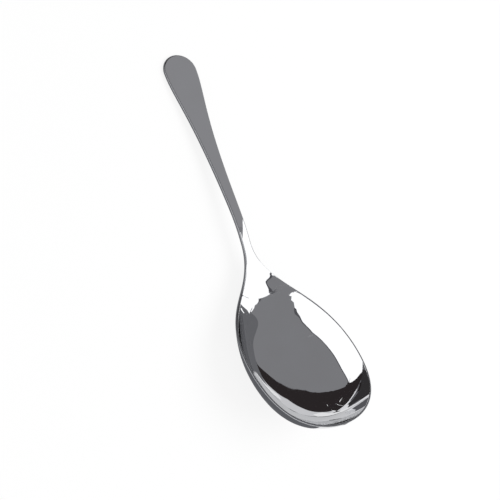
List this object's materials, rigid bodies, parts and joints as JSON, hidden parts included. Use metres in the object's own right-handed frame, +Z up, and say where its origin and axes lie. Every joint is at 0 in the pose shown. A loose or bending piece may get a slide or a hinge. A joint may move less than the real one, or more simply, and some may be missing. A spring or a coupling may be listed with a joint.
{
  "type": "serving spoon",
  "caption": "Polished stainless steel serving spoon with a wide deep egg-shaped bowl, a slim neck and a flat tapering handle with a round end.",
  "frame": {"origin": "centre of the spoon's box on the table that it rests on", "axes": "+Z up from the table, +Y from the butt of the handle to the tip of the bowl, +X across, to the right of someone who looks along +Y"},
  "size_m": [0.0794, 0.2432, 0.0472],
  "materials": {
    "steel": "mirror-polished stainless steel"
  },
  "bodies": {
    "root": {"spoon": "steel"}
  },
  "joints": []
}
